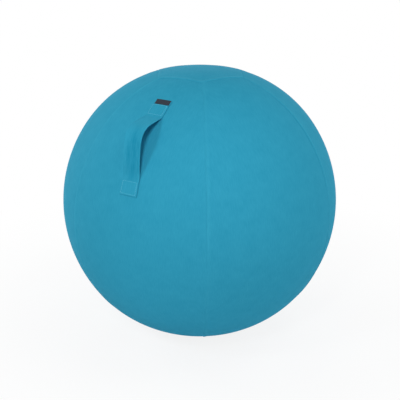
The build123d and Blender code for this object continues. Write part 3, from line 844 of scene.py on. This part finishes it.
def make_label():
    """Strip lying over the strap's end, its edges rolled down by nearly half its thickness."""
    across = np.linspace(-LABEL_WIDTH / 2, LABEL_WIDTH / 2, 37)
    rows = np.linspace(LABEL_INSET, LABEL_INSET + LABEL_HEIGHT, 14)[:, None]
    end_gap = np.minimum(rows - rows[0], rows[-1] - rows)
    gap = np.minimum(LABEL_WIDTH / 2 - np.abs(across), end_gap)
    rolled = 0.25 * MM * np.exp(-((gap / (0.8 * MM)) ** 2))
    low = STRAP_THICKNESS / 2 + LABEL_GAP
    outside = on_strap(rows, across + LABEL_SHIFT, low + LABEL_THICKNESS - rolled)
    inside = on_strap(rows, across + LABEL_SHIFT, low - 0.2 * rolled)
    flat = np.stack(np.broadcast_arrays(across, rows), -1)
    faces = [grid_faces(len(rows), len(across))[:, ::-1]]
    return cloth("strap_label_ribbon", outside, inside, faces, flat, label_ribbon)


label = make_label()
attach(label, "cover")
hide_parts("strap_label")


# Studio: a plain pale floor under a weak sky, with softboxes before, beside and behind the ball.
# The camera stands a little to the right of the strap, looking down on the ball.

AIM = Vector((0, 0, CENTRE_Z))
FLOOR_HALF = 12.0
FLOOR_DROP = 0.2 * MM  # keeps the floor's face and the ring's from lying in one plane
FLOOR_GLOW = 0.13  # share of white in the floor for every ray
NEAR_WHITE = 0.86  # share of white that shows beside the ball, which grows to all of it
SHADOW_NEAR = 0.3  # metres from the ball's axis to where the white starts to grow
SHADOW_FAR = 1.0  # and to where it is full
SKY = 0.18


def seen_plainly(material):
    """One for rays that show a thing as it is: from the camera, off a mirror or through glass."""
    path = add(material, "ShaderNodeLightPath").outputs
    seen = {0: path["Is Camera Ray"], 1: path["Is Glossy Ray"]}
    seen = add(material, "ShaderNodeMath", seen, operation="MAXIMUM").outputs[0]
    seen = {0: seen, 1: path["Is Transmission Ray"]}
    return add(material, "ShaderNodeMath", seen, operation="MAXIMUM").outputs[0]


def pale_floor():
    """White to the camera and to reflections, with a coat of shadow that thins out away from the
    ball. Light finds a plain floor, and from below it is clear, so that the base can be seen."""
    material = empty_material("pale_studio_floor")
    seen = seen_plainly(material)
    place = add(material, "ShaderNodeTexCoord").outputs["Object"]
    away = add(material, "ShaderNodeVectorMath", {0: place}, operation="LENGTH").outputs["Value"]
    white = {
        "Value": away,
        "From Min": SHADOW_NEAR,
        "From Max": SHADOW_FAR,
        "To Min": NEAR_WHITE - FLOOR_GLOW,
        "To Max": 1 - FLOOR_GLOW,
    }
    white = add(material, "ShaderNodeMapRange", white).outputs[0]
    share = {0: seen, 1: white, 2: FLOOR_GLOW}
    share = add(material, "ShaderNodeMath", share, operation="MULTIPLY_ADD").outputs[0]
    paint = add(material, "ShaderNodeBsdfDiffuse", {"Color": linear("#eef0f1")}).outputs[0]
    glow = {"Color": linear("#ffffff"), "Strength": 1.0}
    glow = add(material, "ShaderNodeEmission", glow).outputs[0]
    coat = add(material, "ShaderNodeMixShader", {0: share, 1: paint, 2: glow}).outputs[0]
    under = add(material, "ShaderNodeNewGeometry").outputs["Backfacing"]
    clear = add(material, "ShaderNodeBsdfTransparent").outputs[0]
    surface = add(material, "ShaderNodeMixShader", {0: under, 1: coat, 2: clear}).outputs[0]
    add(material, "ShaderNodeOutputMaterial", {"Surface": surface})
    return material


floor_corners = np.array([[-1, -1, 0], [1, -1, 0], [1, 1, 0], [-1, 1, 0]])
floor_points = FLOOR_HALF * floor_corners - [0, 0, FLOOR_DROP]
floor = new_piece("studio_floor", floor_points, [np.array([[0, 1, 2, 3]])], pale_floor())

world = bpy.data.worlds.new("studio_sky")
bpy.context.scene.world = world
world.use_nodes = True
world.node_tree.nodes.clear()
strength = {0: seen_plainly(world), 1: 1 - SKY, 2: SKY}
strength = add(world, "ShaderNodeMath", strength, operation="MULTIPLY_ADD").outputs[0]
sky = add(world, "ShaderNodeBackground", {"Color": linear("#ffffff"), "Strength": strength})
add(world, "ShaderNodeOutputWorld", {"Surface": sky.outputs[0]})


def towards(azimuth, elevation):
    """Way from the ball to a place by its angle round from the front and its angle above level."""
    turn, rise = np.radians((azimuth, elevation))
    return Vector((np.sin(turn) * np.cos(rise), -np.cos(turn) * np.cos(rise), np.sin(rise)))


def softbox(name, place, size, power):
    """Round area lamp that faces the ball's middle and that the camera doesn't see."""
    lamp = bpy.data.lights.new(name, "AREA")
    lamp.shape = "DISK"
    lamp.size = size
    lamp.energy = power
    holder = bpy.data.objects.new(name, lamp)
    holder.location = place
    holder.rotation_euler = (AIM - place).to_track_quat("-Z", "Y").to_euler()
    holder.visible_camera = False
    bpy.context.scene.collection.objects.link(holder)


FAR = 2.4
NEAR = 1.5
softbox("left_softbox", AIM + FAR * towards(-18, 37), 0.45, 10.8)
softbox("near_softbox", AIM + NEAR * towards(17, 30), 0.25, 6.5)
softbox("high_softbox", AIM + FAR * towards(90, 60), 1.0, 10.4)
softbox("low_right_softbox", AIM + FAR * towards(100, 5), 0.8, 8.3)
softbox("right_softbox", AIM + FAR * towards(112, 28), 0.8, 5.4)
softbox("left_rim_softbox", AIM + FAR * towards(-95, 18), 1.0, 22.4)
softbox("back_left_softbox", AIM + FAR * towards(-150, 24), 1.0, 11.2)
softbox("back_right_softbox", AIM + FAR * towards(165, 20), 1.0, 9.7)

CAMERA_DISTANCE = 1.683
PICTURE = 400  # pixels a side, for the shift that frames the ball
back = towards(27.63, 20.33)
lens = bpy.data.cameras.new("studio_camera")
lens.sensor_width = 36
lens.lens = 62.33
lens.shift_x = 0.35 / PICTURE
lens.shift_y = -0.5 / PICTURE
camera = bpy.data.objects.new("studio_camera", lens)
camera.location = AIM + CAMERA_DISTANCE * back
camera.rotation_euler = (-back).to_track_quat("-Z", "Y").to_euler()
bpy.context.scene.collection.objects.link(camera)
bpy.context.scene.camera = camera
bpy.context.scene.view_settings.view_transform = "Standard"
